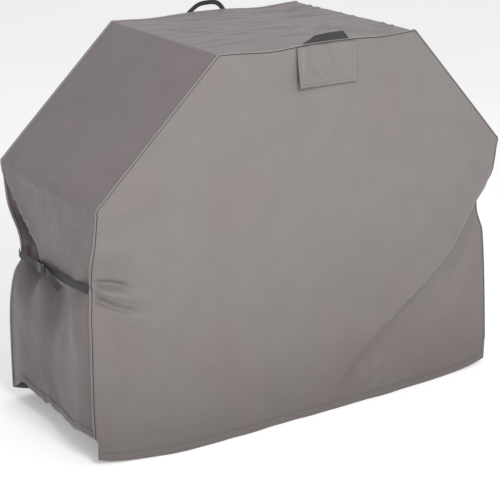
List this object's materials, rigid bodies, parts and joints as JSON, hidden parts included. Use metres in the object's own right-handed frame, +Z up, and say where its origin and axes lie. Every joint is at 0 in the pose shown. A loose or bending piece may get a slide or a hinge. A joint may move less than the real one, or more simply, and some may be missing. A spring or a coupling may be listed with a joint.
{
  "type": "grill cover",
  "caption": "Flared fabric cover for a free-standing cart grill, with webbing handles, rain-flapped vents and buckled side straps; stands open over its grill.",
  "frame": {"origin": "on the floor, under the middle of the cover", "axes": "+X along the grill to the viewer's right, +Y from the front panel to the back panel, +Z up"},
  "size_m": [1.627, 0.7086, 1.341],
  "materials": {
    "face_cloth": "matte coated polyester oxford, warm grey",
    "side_cloth": "matte coated polyester oxford, grey-taupe",
    "webbing": "black polypropylene webbing, ribbed weave",
    "vent_net": "black knitted net",
    "buckle_plastic": "moulded black acetal, satin gloss"
  },
  "bodies": {
    "cover": {"front_panel": "face_cloth", "back_panel": "face_cloth", "gusset_top": "side_cloth", "gusset_left_slope": "side_cloth", "gusset_right_slope": "side_cloth", "gusset_left_side": "side_cloth", "gusset_right_side": "side_cloth", "front_hem": "face_cloth", "back_hem": "face_cloth", "left_hem": "side_cloth", "right_hem": "side_cloth", "front_seam_piping": "side_cloth", "back_seam_piping": "side_cloth", "front_vent_binding": "face_cloth", "back_vent_binding": "face_cloth", "front_vent_net": "vent_net", "back_vent_net": "vent_net", "front_handle_left_end": "webbing", "front_handle_right_end": "webbing", "back_handle_left_end": "webbing", "back_handle_right_end": "webbing", "left_rear_strap": "webbing", "left_front_strap": "webbing", "left_buckle_socket": "buckle_plastic", "right_rear_strap": "webbing", "right_front_strap": "webbing", "right_buckle_socket": "buckle_plastic"},
    "front_handle": {"front_handle": "webbing"},
    "back_handle": {"back_handle": "webbing"},
    "front_flap": {"front_vent_flap": "face_cloth"},
    "back_flap": {"back_vent_flap": "face_cloth"},
    "left_plug": {"left_buckle_plug": "buckle_plastic", "left_strap_tail": "webbing"},
    "left_upper_prong": {"left_buckle_upper_prong": "buckle_plastic"},
    "left_lower_prong": {"left_buckle_lower_prong": "buckle_plastic"},
    "right_plug": {"right_buckle_plug": "buckle_plastic", "right_strap_tail": "webbing"},
    "right_upper_prong": {"right_buckle_upper_prong": "buckle_plastic"},
    "right_lower_prong": {"right_buckle_lower_prong": "buckle_plastic"}
  },
  "joints": [
    {"name": "front_handle_fold", "type": "hinge", "parent": "cover", "child": "front_handle", "pos_m": [0.04, -0.347, 1.306], "axis": [1, 0, 0], "range_deg": [-85, 85]},
    {"name": "back_handle_fold", "type": "hinge", "parent": "cover", "child": "back_handle", "pos_m": [0.015, 0.347, 1.306], "axis": [1, 0, 0], "range_deg": [-85, 85]},
    {"name": "front_flap_lift", "type": "hinge", "parent": "cover", "child": "front_flap", "pos_m": [0.04, -0.3533, 1.294], "axis": [-1, 0, 0], "range_deg": [0, 75]},
    {"name": "back_flap_lift", "type": "hinge", "parent": "cover", "child": "back_flap", "pos_m": [0.015, 0.3533, 1.294], "axis": [1, 0, 0], "range_deg": [0, 75]},
    {"name": "left_plug_slide", "type": "slide", "parent": "cover", "child": "left_plug", "axis": [0, -0.9989, 0.0477], "range_m": [0, 0.03]},
    {"name": "left_upper_prong_squeeze", "type": "hinge", "parent": "left_plug", "child": "left_upper_prong", "pos_m": [-0.808, 0.03985, 0.58887], "axis": [1, 0, 0], "range_deg": [-8, 0], "stiffness_Nm_per_rad": 0.05},
    {"name": "left_lower_prong_squeeze", "type": "hinge", "parent": "left_plug", "child": "left_lower_prong", "pos_m": [-0.808, 0.03904, 0.57189], "axis": [1, 0, 0], "range_deg": [0, 8], "stiffness_Nm_per_rad": 0.05},
    {"name": "right_plug_slide", "type": "slide", "parent": "cover", "child": "right_plug", "axis": [0, -0.9989, 0.0477], "range_m": [0, 0.03]},
    {"name": "right_upper_prong_squeeze", "type": "hinge", "parent": "right_plug", "child": "right_upper_prong", "pos_m": [0.808, 0.03985, 0.58887], "axis": [1, 0, 0], "range_deg": [-8, 0], "stiffness_Nm_per_rad": 0.05},
    {"name": "right_lower_prong_squeeze", "type": "hinge", "parent": "right_plug", "child": "right_lower_prong", "pos_m": [0.808, 0.03904, 0.57189], "axis": [1, 0, 0], "range_deg": [0, 8], "stiffness_Nm_per_rad": 0.05}
  ]
}
